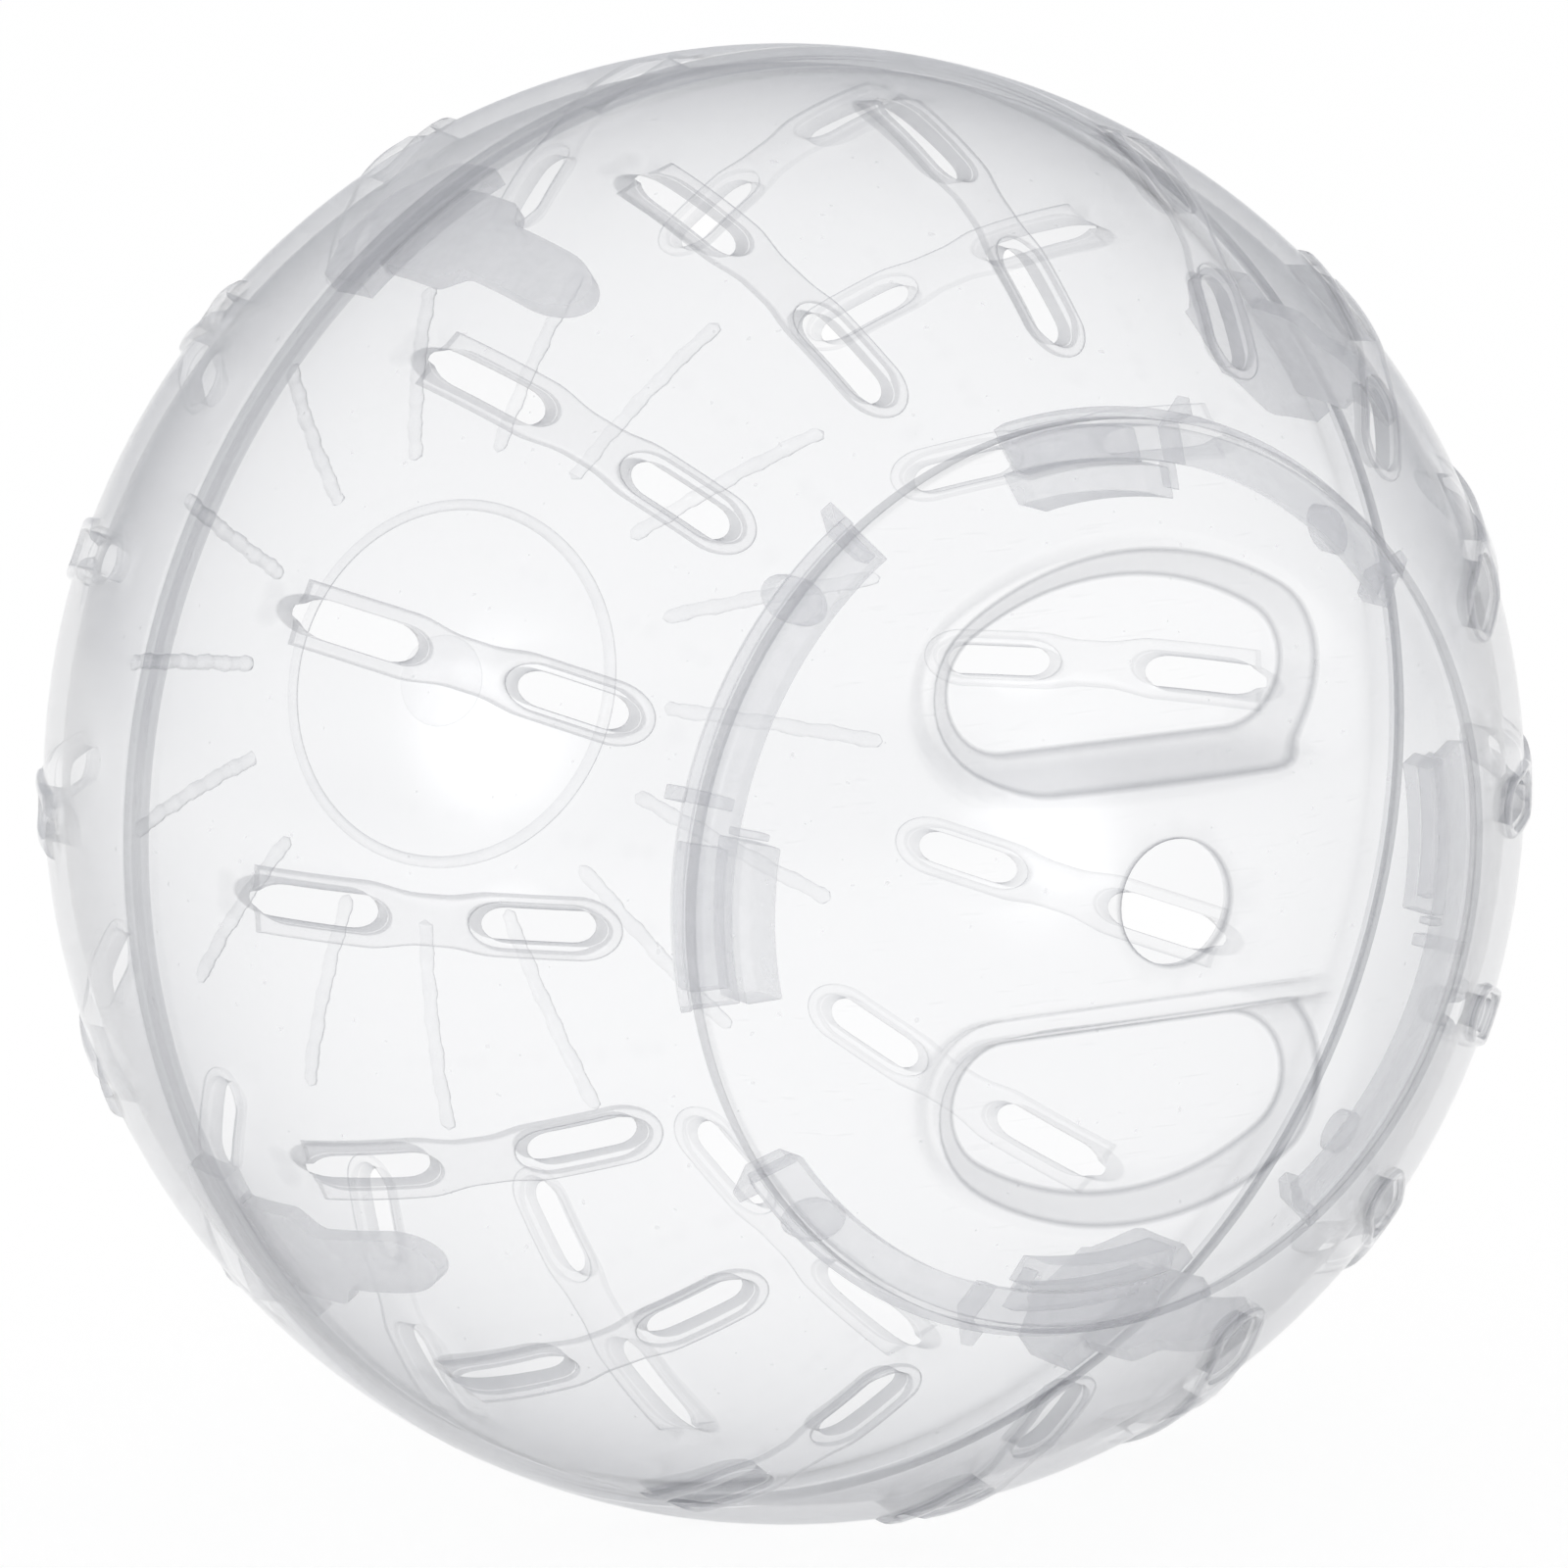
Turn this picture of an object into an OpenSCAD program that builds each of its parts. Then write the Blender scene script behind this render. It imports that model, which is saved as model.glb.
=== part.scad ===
// Hamster exercise ball: a clear ball of two half shells with a turning door.
// The door's axis runs through the ball's centre. It points along -Y, +Z is up,
// and the origin is the centre of the ball. Lengths are in millimetres.
//
// Each moulding is drawn with the door's axis along its own +Z and then laid
// over by to_ball_frame(). An angle round the axis is counted from the ball's
// +Z, anticlockwise as seen from outside the door.

/* [Ball] */
// Outside diameter of the ball
ball_d = 120; // [110:1:150]
// Wall of the two half shells
wall = 1.5; // [1.3:0.1:2]

/* [Seam] */
// Overlap of the two lips at the seam, along the axis
lip_h = 1.4; // [1:0.1:3]
// Thickness of the rear half's inner lip
lip_t = 0.55; // [0.4:0.05:0.7]
// Gap between the edges and lips of the two halves
seam_gap = 0.25; // [0.15:0.05:0.4]

/* [Vents] */
// Vents in each half, spread evenly round the axis
vent_count = 16; // [8:4:20]
// Width of a vent's slot near the pole
slot_pole_w = 2.7; // [1.5:0.1:3]
// Width of a vent's slot near the seam
slot_seam_w = 3.1; // [1.5:0.1:3.4]
// Height of the pad round each vent above the shell
pad_h = 0.6; // [0.3:0.1:1]
// Width of the pad beside the slot near the pole
pad_pole_w = 5; // [4:0.1:6]
// Width of the pad at its waist
pad_waist_w = 4.1; // [3:0.1:5]
// Width of the pad beside the slot near the seam
pad_seam_w = 5.3; // [4:0.1:6]
// Width of the sunk margin round the slot near the pole
margin_w = 0.4; // [0.2:0.1:0.7]

/* [Door] */
// Diameter of the door opening, as a share of the ball's
opening_share = 0.596; // [0.57:0.002:0.62]
// Gap between the door's edge and the opening
door_gap = 0.45; // [0.3:0.05:0.8]
// Depth of the door's face below the ball's surface
door_drop = 0.3; // [0:0.1:0.6]
// Wall of the door
door_wall = 1.3; // [1:0.1:1.6]
// Diameter of the hole in the middle of the door
hole_d = 9.8; // [6:0.1:11]
// Gap between faces that slide on each other, seat, door and tabs
slide_gap = 0.25; // [0.2:0.05:0.35]

/* [Door seat] */
// Width of the ledge that the door sits on
ledge_w = 3.15; // [2.4:0.05:3.3]
// Thickness of the ledge
ledge_t = 1.4; // [0.8:0.1:1.6]
// Width of the slope that joins the ledge to the shell
slope_w = 0.75; // [0.5:0.05:1]
// Thickness of the ribs under the ledge
rib_t = 1.1; // [0.8:0.1:1.6]
// Depth of the ribs and the round pad below the ledge
rib_h = 1.45; // [1:0.05:2]
// Reach of the ribs beyond the edge of the opening
rib_reach = 2.05; // [1.5:0.05:3]
// Diameter of the round pad under the ledge
ejector_pad_d = 3.6; // [3:0.1:4.5]
// Reach of the stop on the ledge's edge, inwards
stop_reach = 1.9; // [1:0.1:2.2]
// Thickness of the stop
stop_t = 0.6; // [0.5:0.1:1.2]

/* [Door tabs] */
// Number of tabs, and of ledges that they lock under
tab_count = 4; // [3:1:4]
// Width of a tab's foot, under the ledge
foot_w = 11.6; // [9:0.1:12.5]
// Thickness of a tab's foot
foot_t = 1.5; // [1:0.1:2]
// Gap between the foot's edge and the edge of the opening
foot_gap = 1; // [0.4:0.1:1.5]
// Width of a tab's stem
stem_w = 12.6; // [10:0.1:13]
// Thickness of a tab's stem, across the door's radius
stem_t = 2.3; // [2:0.1:3.5]
// Gap between a tab's stem and the ledge's edge
stem_gap = 0.3; // [0.2:0.05:0.5]

/* [Finger recesses] */
// Depth of the recess floor below the ball's pole
recess_depth = 9.5; // [8:0.1:11]
// Distance from the axis to the straight side, at the floor
floor_flat = 11.2; // [10:0.1:13]
// Distance from the axis to the curved side, at the floor
floor_reach = 24.2; // [23.5:0.1:25.8]
// Half the width of the floor
floor_half_w = 15.1; // [13:0.1:17]
// Distance from the axis to the straight side, level with the pole
mouth_flat = 8.6; // [8.2:0.1:9.5]
// Distance from the axis to the curved side, level with the pole
mouth_reach = 31.1; // [30:0.1:31.5]
// Half the width of the recess, level with the pole
mouth_half_w = 25.1; // [22:0.1:25.4]

/* [Seam tongues] */
// Number of tongues on the rear half
tongue_count = 4; // [2:1:4]
// Width of a tongue
tongue_w = 5.5; // [4:0.1:7]
// Thickness of a tongue
tongue_t = 1.2; // [0.8:0.1:2]
// Length of a tongue past the seam
tongue_l = 21.9; // [16:0.1:26]
// Length of the rounded tip of a tongue
tongue_tip_l = 4.6; // [2:0.1:6]
// Gap between a tongue and the front half's wall
tongue_gap = 0.3; // [0.2:0.05:0.6]
// Width of the foot that a tongue grows from, past the seam
foot_front_w = 9.4; // [8:0.1:12]
// Length of that foot past the seam
foot_front_l = 7.6; // [4:0.1:9]
// Length of the flare between the foot and the tongue
flare_l = 2.8; // [1:0.1:4]
// Width of the pad behind the seam that carries the foot
root_w = 14.6; // [12:0.1:18]
// Length of that pad behind the seam
root_rear_l = 9.5; // [6:0.1:14]

/* [Rear ribs] */
// Radius of the ring on the inside of the rear half
ring_r = 15.5; // [12:0.1:18]
// Radius at which the rays outside the ring start
ray_start_r = 20.3; // [18.5:0.1:24]
// Length of a ray, measured across the axis
ray_l = 16.7; // [10:0.1:19]
// Width of a ray
ray_w = 1.3; // [1:0.1:2.5]
// Width of the ring
ring_w = 1; // [0.8:0.1:2]
// Height of the ring and the rays inside the wall
ray_h = 0.6; // [0.3:0.1:1]
// Radius of the gate disc at the rear pole
gate_r = 4; // [3:0.1:6]
// Height of the gate disc inside the wall
gate_h = 0.25; // [0.2:0.05:0.6]

/* [Hidden] */

clear_plastic = [0.93, 0.94, 0.96, 0.45];

big_fn = 180;
small_fn = 48;
recess_fn = 72;
// Turn from one point of a tongue's tip to the next, in degrees
tip_step = 7.5;

// Half shells
ball_r = ball_d / 2;
inner_r = ball_r - wall;
// How far pieces of one moulding reach into each other
bite = 0.3;
// How far a cut runs past the face it starts from
overrun = 2;

// Angles of a vent's ends, slots and waist, in degrees from the pole
vent_pole_end = 42.1;
vent_pole_slot_start = 43.1;
vent_pole_slot_end = 52.7;
vent_waist_start = 55.5;
vent_waist_end = 58;
vent_seam_slot_start = 60.5;
vent_seam_pad_start = 62.2;
vent_seam_slot_end = 73.5;
vent_seam_end = 73.2;

// Lean of the slot near the seam, away from the axis, in degrees
slot_lean = 8;

// Door and its seat, from the opening inwards
opening_r = opening_share * ball_r;
door_edge_r = opening_r - door_gap;
hole_r = hole_d / 2;
door_r = ball_r - door_drop;
door_in_r = door_r - door_wall;
ledge_edge_r = opening_r - ledge_w;
ledge_top_r = door_in_r - slide_gap;
ledge_under_r = ledge_top_r - ledge_t;
rib_under_r = ledge_under_r - rib_h;
foot_top_r = ledge_under_r - slide_gap;
foot_under_r = foot_top_r - foot_t;
stem_out_r = ledge_edge_r - stem_gap;
stem_in_r = stem_out_r - stem_t;
foot_out_r = opening_r - foot_gap;

// Angles round the axis: where each ledge, its second rib, its pad and its stop lie
ledge_from = 34.6;
ledge_to = 100.6;
second_rib_to = 75;
ejector_pad_at = 46;
stop_from = 76.85;
// Angle of the first tab when the door is locked
tab_at = -0.35;
// Angle of the first tongue
tongue_at = 33.6;

// Shape of the pad behind the seam, as shares of its half width and its length
root_shoulder_share = 0.45;
root_rear_share = 0.6;

// Angle from one vent to the next
step = 360 / vent_count;

// Lays a moulding's own +Z along the ball's -Y
module to_ball_frame() {
    rotate([90, 0, 0])
        children();
}

// Solid between two spheres
module shell(outer, inner) {
    difference() {
        sphere(outer, $fn = big_fn);
        sphere(inner, $fn = big_fn);
    }
}

// Half of the space on the door's side of the seam, or behind it
module half_space(side) {
    side_z = side > 0 ? 0 : -(ball_r + overrun);
    translate([-(ball_r + overrun), -(ball_r + overrun), side_z])
        cube([ball_d + 2 * overrun, ball_d + 2 * overrun, ball_r + overrun]);
}

// Flat wedge between two angles round the axis
module wedge(from, to) {
    far = 2 * ball_r;
    middle = (from + to) / 2;
    polygon([
        [0, 0],
        far * [-sin(from), cos(from)],
        far * [-sin(middle), cos(middle)],
        far * [-sin(to), cos(to)]
    ]);
}

// Outline of a slot along +Y between two distances from the axis
module slot_outline(start, end, w) {
    radius = w / 2;
    translate([-radius, start + radius])
        square([w, end - start - w]);
    for (at = [start + radius, end - radius])
        translate([0, at])
            circle(radius, $fn = small_fn);
}

// Distance from the axis of a point on the ball at an angle from the pole
function across(angle) = ball_r * sin(angle);

// Outline of the dumbbell pad round one vent
module pad_outline() {
    pole_w = pad_pole_w / 2;
    waist_w = pad_waist_w / 2;
    seam_w = pad_seam_w / 2;
    pole_y = across(vent_pole_end) + pole_w;
    translate([0, pole_y])
        circle(pole_w, $fn = small_fn);
    polygon([
        [-pole_w, pole_y],
        [-pole_w, across(vent_pole_slot_end)],
        [-waist_w, across(vent_waist_start)],
        [-waist_w, across(vent_waist_end)],
        [-seam_w, across(vent_seam_pad_start)],
        [-seam_w, across(vent_seam_end)],
        [seam_w, across(vent_seam_end)],
        [seam_w, across(vent_seam_pad_start)],
        [waist_w, across(vent_waist_end)],
        [waist_w, across(vent_waist_start)],
        [pole_w, across(vent_pole_slot_end)],
        [pole_w, pole_y]
    ]);
}

// The raised pad of one vent, following the ball
module vent_pad() {
    intersection() {
        shell(ball_r + pad_h, ball_r - bite);
        linear_extrude(ball_r + overrun)
            pad_outline();
    }
}

// The two slots of one vent: the first along the axis, the second leaning from it
module vent_slots() {
    linear_extrude(ball_r + overrun)
        slot_outline(across(vent_pole_slot_start), across(vent_pole_slot_end), slot_pole_w);
    rotate([-slot_lean, 0, 0])
        linear_extrude(ball_r + overrun)
            slot_outline(across(vent_seam_slot_start - slot_lean),
                across(vent_seam_slot_end - slot_lean), slot_seam_w);
}

// The sunk margin beside the slot near the pole, and past its waist end
module vent_margin() {
    difference() {
        linear_extrude(ball_r + overrun)
            slot_outline(across(vent_pole_slot_start) + margin_w,
                across(vent_pole_slot_end) + 2 * margin_w, slot_pole_w + 2 * margin_w);
        sphere(ball_r, $fn = big_fn);
    }
}

// Repeats its children at every vent of a half
module at_vents() {
    for (i = [0 : vent_count - 1])
        rotate([0, 0, i * step])
            children();
}

// A half shell with its vents, on the +Z side of the seam
module vented_half() {
    difference() {
        union() {
            intersection() {
                shell(ball_r, inner_r);
                half_space(1);
            }
            at_vents()
                vent_pad();
        }
        at_vents() {
            vent_slots();
            vent_margin();
        }
    }
}

// Profile between two spheres and two distances from the axis
module band_profile(top_r, under_r, from_r, to_r) {
    intersection() {
        difference() {
            circle(top_r, $fn = big_fn);
            circle(under_r, $fn = big_fn);
        }
        translate([from_r, 0])
            square([to_r - from_r, ball_r]);
    }
}

// A profile turned round the axis between two angles
module swept(from, to) {
    intersection() {
        rotate_extrude($fn = big_fn)
            children();
        linear_extrude(ball_r + overrun)
            wedge(from, to);
    }
}

// Distance from the seam's plane of a point on a sphere, at a distance from the axis
function height(sphere_r, out) = sqrt(sphere_r * sphere_r - out * out);

// Half the angle that a width takes up at a distance from the axis, in degrees
function half_angle(w, at_r) = w / 2 / at_r * 180 / PI;

// Profile of the ledge, with the slope that joins it to the shell
module ledge_profile() {
    slope_end = opening_r + slope_w;
    band_profile(ledge_top_r, ledge_under_r, ledge_edge_r, opening_r);
    polygon([
        [opening_r - bite, height(ledge_under_r + bite, opening_r - bite)],
        [opening_r, height(ledge_under_r, opening_r)],
        [slope_end, height(inner_r, slope_end)],
        [slope_end, height(inner_r + bite, slope_end)],
        [opening_r, height(inner_r + bite, opening_r)],
        [opening_r, height(ledge_under_r + bite, opening_r)]
    ]);
}

// Profile of a rib, flat under the ledge and tapered from there to the shell
module rib_profile() {
    knee = opening_r - slope_w;
    tip = opening_r + rib_reach;
    inside = opening_r + slope_w / 2;
    band_profile(ledge_under_r + bite, rib_under_r, ledge_edge_r, knee);
    polygon([
        [knee - bite, height(rib_under_r + bite, knee)],
        [knee, height(rib_under_r, knee)],
        [tip, height(inner_r, tip)],
        [tip, height(inner_r + bite, tip)],
        [inside, height(inner_r, inside)],
        [knee - bite, height(ledge_under_r + bite, knee)]
    ]);
}

// Round pad under the ledge, where the mould's ejector pin stood
module ejector_pad() {
    intersection() {
        shell(ledge_under_r + bite, rib_under_r);
        rotate([0, 0, ejector_pad_at])
            translate([0, (ledge_edge_r + opening_r) / 2, 0])
                cylinder(h = ball_r, d = ejector_pad_d, $fn = small_fn);
    }
}

// Stop on the ledge's edge that a tab's stem turns against
module stop() {
    stop_turn = 2 * half_angle(stop_t, ledge_edge_r);
    swept(stop_from, stop_from + stop_turn)
        band_profile(ledge_top_r, ledge_under_r, ledge_edge_r - stop_reach, ledge_edge_r + bite);
}

// One quarter of the door's seat: the ledge that the door sits on and a tab locks under
module seat_quarter() {
    rib_turn = 2 * half_angle(rib_t, opening_r);
    swept(ledge_from, ledge_to)
        ledge_profile();
    for (rib_from = [ledge_from, second_rib_to - rib_turn])
        swept(rib_from, rib_from + rib_turn)
            rib_profile();
    ejector_pad();
    stop();
}

module front_half() {
    color(clear_plastic)
        to_ball_frame()
            union() {
                difference() {
                    vented_half();
                    cylinder(h = ball_r + overrun, r = opening_r, $fn = big_fn);
                    rebate_r = inner_r + lip_t + seam_gap;
                    translate([0, 0, -overrun])
                        cylinder(h = overrun + lip_h + seam_gap, r = rebate_r, $fn = big_fn);
                }
                for (i = [0 : tab_count - 1])
                    rotate([0, 0, i * 360 / tab_count])
                        seat_quarter();
            }
}

// Outline of a tongue across the ball, with the axis along +Y and the seam at 0
module tongue_outline() {
    half_w = tongue_w / 2;
    side_l = tongue_l - tongue_tip_l;
    translate([-half_w, 0])
        square([tongue_w, side_l]);
    polygon([for (turn = [0 : tip_step : 180])
        [half_w * cos(turn), side_l + tongue_tip_l * sin(turn)]]);
}

// Outline of the foot that a tongue grows from, past the seam
module foot_front_outline() {
    half_w = foot_front_w / 2;
    neck_w = tongue_w / 2;
    polygon([
        [-half_w, 0],
        [-half_w, foot_front_l],
        [-neck_w, foot_front_l + flare_l],
        [neck_w, foot_front_l + flare_l],
        [half_w, foot_front_l],
        [half_w, 0]
    ]);
}

// Outline of the pad behind the seam, up to the lip
module root_outline() {
    half_w = root_w / 2;
    shoulder_w = half_w * root_shoulder_share;
    polygon([
        [-half_w, lip_h - seam_gap],
        [-half_w, -root_rear_l * root_rear_share],
        [-shoulder_w, -root_rear_l],
        [shoulder_w, -root_rear_l],
        [half_w, -root_rear_l * root_rear_share],
        [half_w, lip_h - seam_gap]
    ]);
}

// A plate that follows the ball between two spheres, cut to an outline
module curved_plate(outer, inner) {
    intersection() {
        shell(outer, inner);
        rotate([90, 0, 180])
            linear_extrude(ball_r)
                children();
    }
}

// Tongue that reaches into the front half, and its root on the rear wall
module tongue() {
    tongue_out_r = inner_r - tongue_gap;
    tongue_in_r = tongue_out_r - tongue_t;
    curved_plate(tongue_out_r, tongue_in_r) {
        tongue_outline();
        foot_front_outline();
    }
    curved_plate(inner_r + bite, tongue_in_r)
        root_outline();
}

// Ring, rays and gate disc on the inside of the rear pole
module pole_pattern() {
    intersection() {
        shell(inner_r + bite, inner_r - ray_h);
        linear_extrude(ball_r) {
            difference() {
                circle(ring_r + ring_w / 2, $fn = big_fn);
                circle(ring_r - ring_w / 2, $fn = big_fn);
            }
            for (i = [0 : vent_count - 1])
                rotate((i + 0.5) * step)
                    slot_outline(ray_start_r, ray_start_r + ray_l, ray_w);
        }
    }
    intersection() {
        shell(inner_r + bite, inner_r - gate_h);
        cylinder(h = ball_r, r = gate_r, $fn = small_fn);
    }
}

// Inner lip of the rear half, which centres the front half
module rear_lip() {
    translate([0, 0, -lip_h])
        difference() {
            cylinder(h = 2 * lip_h, r = inner_r + lip_t, $fn = big_fn);
            translate([0, 0, -overrun])
                cylinder(h = 2 * lip_h + 2 * overrun, r = inner_r - bite / 2, $fn = big_fn);
        }
}

module rear_half() {
    color(clear_plastic)
        to_ball_frame() {
            difference() {
                mirror([0, 0, 1]) {
                    vented_half();
                    pole_pattern();
                }
                translate([0, 0, -seam_gap])
                    cylinder(h = overrun, r = ball_r + overrun, $fn = big_fn);
            }
            rear_lip();
            for (i = [0 : tongue_count - 1])
                rotate([0, 0, tongue_at + i * 360 / tongue_count])
                    tongue();
        }
}

// D-shaped outline: a straight side, a curved side round the axis, round ends
module recess_outline(flat_y, reach, half_w) {
    along = flat_y + reach;
    room = reach - half_w;
    end_x = along - sqrt(2 * room * along);
    end_r = half_w - end_x;
    end_y = flat_y + end_r;
    meet = reach * [end_x, end_y] / (reach - end_r);
    for (side = [-1, 1])
        translate([side * end_x, end_y])
            circle(end_r, $fn = recess_fn);
    intersection() {
        circle(reach, $fn = 2 * recess_fn);
        polygon([
            [-end_x, flat_y],
            [end_x, flat_y],
            meet,
            2 * meet,
            [-2 * meet.x, 2 * meet.y],
            [-meet.x, meet.y]
        ]);
    }
}

// Block between the recess's floor and its mouth, grown by a margin
module recess_block(margin) {
    sheet = bite / 10;
    hull() {
        translate([0, 0, ball_r - recess_depth - margin])
            linear_extrude(sheet)
                recess_outline(floor_flat - margin, floor_reach + margin, floor_half_w + margin);
        translate([0, 0, ball_r])
            linear_extrude(sheet)
                recess_outline(mouth_flat - margin, mouth_reach + margin, mouth_half_w + margin);
    }
}

// One tab: stem down from the door's underside, foot outwards under the ledge
module tab() {
    stem_turn = half_angle(stem_w, stem_out_r);
    foot_turn = half_angle(foot_w, foot_out_r);
    swept(-stem_turn, stem_turn)
        band_profile(door_in_r + bite, foot_under_r, stem_in_r, stem_out_r);
    swept(-foot_turn, foot_turn)
        band_profile(foot_top_r, foot_under_r, stem_out_r - bite, foot_out_r);
}

module door() {
    color(clear_plastic)
        to_ball_frame()
            difference() {
                union() {
                    intersection() {
                        union() {
                            rotate_extrude($fn = big_fn)
                                band_profile(door_r, door_in_r, 0, door_edge_r);
                            recess_block(door_wall);
                            mirror([0, 1, 0])
                                recess_block(door_wall);
                        }
                        sphere(door_r, $fn = big_fn);
                    }
                    for (i = [0 : tab_count - 1])
                        rotate([0, 0, tab_at + i * 360 / tab_count])
                            tab();
                }
                recess_block(0);
                mirror([0, 1, 0])
                    recess_block(0);
                cylinder(h = ball_r + overrun, r = hole_r, $fn = small_fn);
            }
}

front_half();
rear_half();
door();
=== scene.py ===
import math

import bmesh
import bpy
from mathutils import Matrix, Vector
from mathutils.geometry import delaunay_2d_cdt


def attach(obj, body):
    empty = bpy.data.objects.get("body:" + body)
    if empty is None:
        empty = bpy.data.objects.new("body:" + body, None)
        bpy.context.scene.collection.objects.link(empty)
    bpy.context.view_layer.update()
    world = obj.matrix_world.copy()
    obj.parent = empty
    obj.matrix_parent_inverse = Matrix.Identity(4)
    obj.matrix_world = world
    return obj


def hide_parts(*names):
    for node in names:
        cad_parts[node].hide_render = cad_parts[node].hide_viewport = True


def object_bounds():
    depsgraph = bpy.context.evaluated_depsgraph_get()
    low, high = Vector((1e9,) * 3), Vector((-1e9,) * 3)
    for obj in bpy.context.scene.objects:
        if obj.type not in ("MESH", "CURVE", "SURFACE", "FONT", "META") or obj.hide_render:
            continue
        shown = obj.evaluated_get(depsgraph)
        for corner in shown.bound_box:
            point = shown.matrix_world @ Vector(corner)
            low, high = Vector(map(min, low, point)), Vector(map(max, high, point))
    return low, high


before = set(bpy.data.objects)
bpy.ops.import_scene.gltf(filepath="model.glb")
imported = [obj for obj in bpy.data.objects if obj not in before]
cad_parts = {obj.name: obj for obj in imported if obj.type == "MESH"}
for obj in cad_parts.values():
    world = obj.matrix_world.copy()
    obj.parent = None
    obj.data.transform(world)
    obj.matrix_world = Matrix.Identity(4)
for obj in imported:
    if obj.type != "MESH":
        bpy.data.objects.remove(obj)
cad_low, cad_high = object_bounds()
scene = bpy.context.scene

# Camera: it stands where the photograph was taken from, far off with a long lens
CAMERA_DISTANCE = 0.84
CAMERA_BACK = Vector((-0.49329, -0.84989, 0.18533))
CAMERA_UP = Vector((0.10674, 0.15231, 0.98255))
FOCAL_PX = 10557
FRAME_PX = 1600
SENSOR_MM = 36

# Lengths below are in millimetres, and angles in degrees
MM = 0.001
BALL = 60
INNER = 58.5

# Opening for the door, and the angle from the pole at which both halves' vented walls begin
OPENING = 35.76
OPENING_AT = math.degrees(math.asin(OPENING / BALL))

# Vents, each two slots in one pad: their number round each half, and the angles from the pole that they span
VENTS = 16
STEP = 360 / VENTS
VENT_POLE_END = 42.1
VENT_SEAM_END = 73.2

# Pad: how far it stands out, how far in from its sides and its square end it is rounded, and how far
# round the slot near the pole it is left out
PAD_H = 0.6
PAD_EDGE = 0.5
PAD_END_EDGE = 0.2
MARGIN = 0.4

# Rounding of the rims of slots and opening
RIM = 0.18

# The mould draws along the axis near the pole, leans between two angles, and turns outwards past a third
SLOT_LEAN = 8
LEAN_FROM, LEAN_TO = 54, 59
DRAW_TURNS_AT = 75

# Where the vented sheets end beside the seam, and the last point of the outside before the seam's edge
SHEET_END = 87.2
SEAM_TURN = 88.6

# Steps round a vent's share of the ball and all round it, round slot ends, and along the pad's outline
ARC_STEPS = 10
ALL_ROUND = VENTS * ARC_STEPS
END_STEPS = 12
PAD_SIDE_STEPS, PAD_CAP_STEPS, PAD_END_STEPS = 38, 18, 8

# Spacing of loose points, the distance that lines keep from a slot's edge, and the shares of a rounded
# edge's width at which lines follow it
GRID = 2.4
CLEAR_OF_SLOT = 0.02
PAD_LINES = (0, 0.04, 0.15, 0.4, 1)
RIM_RINGS = (0.4, 1)
RIM_LINES = (0.3, 1)

# How far blocks, tongues and beads are sunk into what carries them
SUNK_BY = 0.04


def sin(angle):
    return math.sin(math.radians(angle))


def cos(angle):
    return math.cos(math.radians(angle))


def across(polar):
    return BALL * sin(polar)


def smooth(t):
    t = min(max(t, 0), 1)
    return t * t * (3 - 2 * t)


def bulge(inside, width, height):
    """Height of a rounded edge at a distance inside it."""
    t = min(max(inside / width, 0), 1)
    return height * math.sqrt(1 - (1 - t) ** 2)


class Slot:
    """A slot with round ends, cut through the shell along a line that leans from the axis."""

    def __init__(self, start, end, width, lean):
        self.half = width / 2
        self.lean = lean
        self.near = across(start - lean) + self.half
        self.far = across(end - lean) - self.half

    def grown(self, near, far, side):
        other = Slot(0, 0, 2 * (self.half + side), self.lean)
        other.near, other.far = self.near + near, self.far + far
        return other

    def gap(self, polar, az):
        """Distance from the slot's edge, seen along its draw; negative inside it."""
        x = across(polar) * sin(az)
        y = across(polar) * cos(az) * cos(self.lean) - BALL * cos(polar) * sin(self.lean)
        return math.hypot(x, max(self.near - y, 0, y - self.far)) - self.half

    def outline(self, grow):
        """Angles of the slot's outline, grown by a distance."""
        radius = self.half + grow
        sides = max(2, round((self.far - self.near) / 0.8))
        run = [self.far + (self.near - self.far) * i / sides for i in range(1, sides)]
        ends = [180 * i / END_STEPS for i in range(END_STEPS + 1)]
        points = [(radius * cos(t), self.far + radius * sin(t)) for t in ends]
        points += [(-radius, y) for y in run]
        points += [(-radius * cos(t), self.near - radius * sin(t)) for t in ends]
        points += [(radius, y) for y in reversed(run)]
        return [self.onto_ball(x, y) for x, y in points]

    def onto_ball(self, x, y):
        z = math.sqrt(BALL ** 2 - x ** 2 - y ** 2)
        up = z * cos(self.lean) - y * sin(self.lean)
        out = y * cos(self.lean) + z * sin(self.lean)
        return math.degrees(math.acos(up / BALL)), math.degrees(math.atan2(-x, out))


POLE_SLOT = Slot(43.1, 52.7, 2.7, 0)
SEAM_SLOT = Slot(60.5, 73.5, 3.1, SLOT_LEAN)
SUNK = POLE_SLOT.grown(2 * MARGIN, MARGIN, MARGIN)

# Half widths of the pad at angles from the pole
PAD_HALVES = ((VENT_POLE_END, 2.5), (52.2, 2.5), (55.8, 2.05), (58, 2.05), (62.6, 2.65), (90, 2.65))


def pad_half(polar):
    for (low, first), (high, second) in zip(PAD_HALVES, PAD_HALVES[1:]):
        if polar <= high:
            return first + (second - first) * smooth((polar - low) / (high - low))
    return PAD_HALVES[-1][1]


def pad_depths(polar, az):
    """Distances inside the pad's sides and inside its square end."""
    x, y = across(polar) * sin(az), across(polar) * cos(az)
    round_half = PAD_HALVES[0][1]
    centre = across(VENT_POLE_END) + round_half
    side = pad_half(polar) - abs(x)
    if y < centre:
        side = round_half - math.hypot(x, centre - y)
    return side, BALL * math.radians(VENT_SEAM_END - polar)


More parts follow.
